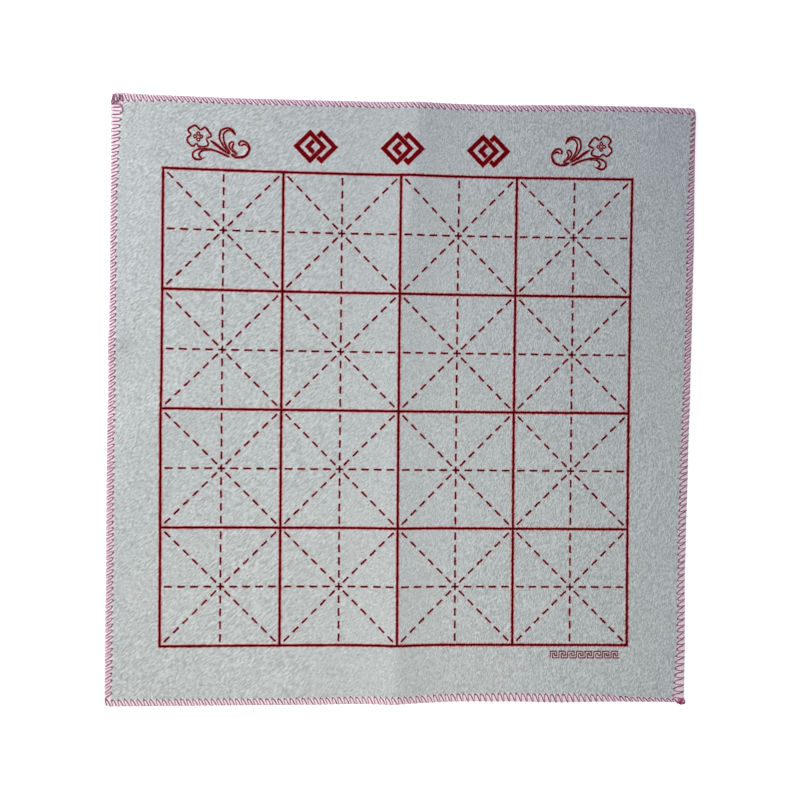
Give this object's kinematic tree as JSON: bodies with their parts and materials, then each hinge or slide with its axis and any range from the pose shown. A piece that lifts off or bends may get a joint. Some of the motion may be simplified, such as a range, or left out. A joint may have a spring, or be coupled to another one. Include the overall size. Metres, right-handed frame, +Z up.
{
  "type": "calligraphy felt mat",
  "caption": "Square grey-white felt mat for brush calligraphy, with pink overlocked edges and a printed crimson practice grid of dashed guide lines under a heading row with flower scrolls.",
  "frame": {"origin": "middle of the underside, on the surface that the mat lies on", "axes": "+Z up out of the printed face, +Y towards the heading at the head edge, +X to the right when the print is seen from above"},
  "size_m": [0.496, 0.512, 0.0031],
  "materials": {
    "felt": "matte needled felt with a slight diagonal grain",
    "edging_thread": "soft twisted sewing thread",
    "print_ink": "flat printing ink soaked into the felt's fibres"
  },
  "bodies": {
    "root": {"felt_sheet": "felt", "head_edge_upper_looper": "edging_thread", "head_edge_lower_looper": "edging_thread", "head_edge_needle_thread": "edging_thread", "right_edge_upper_looper": "edging_thread", "right_edge_lower_looper": "edging_thread", "right_edge_needle_thread": "edging_thread", "foot_edge_upper_looper": "edging_thread", "foot_edge_lower_looper": "edging_thread", "foot_edge_needle_thread": "edging_thread", "left_edge_upper_looper": "edging_thread", "left_edge_lower_looper": "edging_thread", "left_edge_needle_thread": "edging_thread", "grid_lines": "print_ink", "cell_guides_row1_col1": "print_ink", "cell_guides_row1_col2": "print_ink", "cell_guides_row1_col3": "print_ink", "cell_guides_row1_col4": "print_ink", "cell_guides_row2_col1": "print_ink", "cell_guides_row2_col2": "print_ink", "cell_guides_row2_col3": "print_ink", "cell_guides_row2_col4": "print_ink", "cell_guides_row3_col1": "print_ink", "cell_guides_row3_col2": "print_ink", "cell_guides_row3_col3": "print_ink", "cell_guides_row3_col4": "print_ink", "cell_guides_row4_col1": "print_ink", "cell_guides_row4_col2": "print_ink", "cell_guides_row4_col3": "print_ink", "cell_guides_row4_col4": "print_ink", "heading_mark_left": "print_ink", "heading_mark_middle": "print_ink", "heading_mark_right": "print_ink", "left_flower_petals": "print_ink", "left_flower_stamens": "print_ink", "left_flower_scroll": "print_ink", "right_flower_petals": "print_ink", "right_flower_stamens": "print_ink", "right_flower_scroll": "print_ink", "foot_fret_border": "print_ink"}
  },
  "joints": []
}
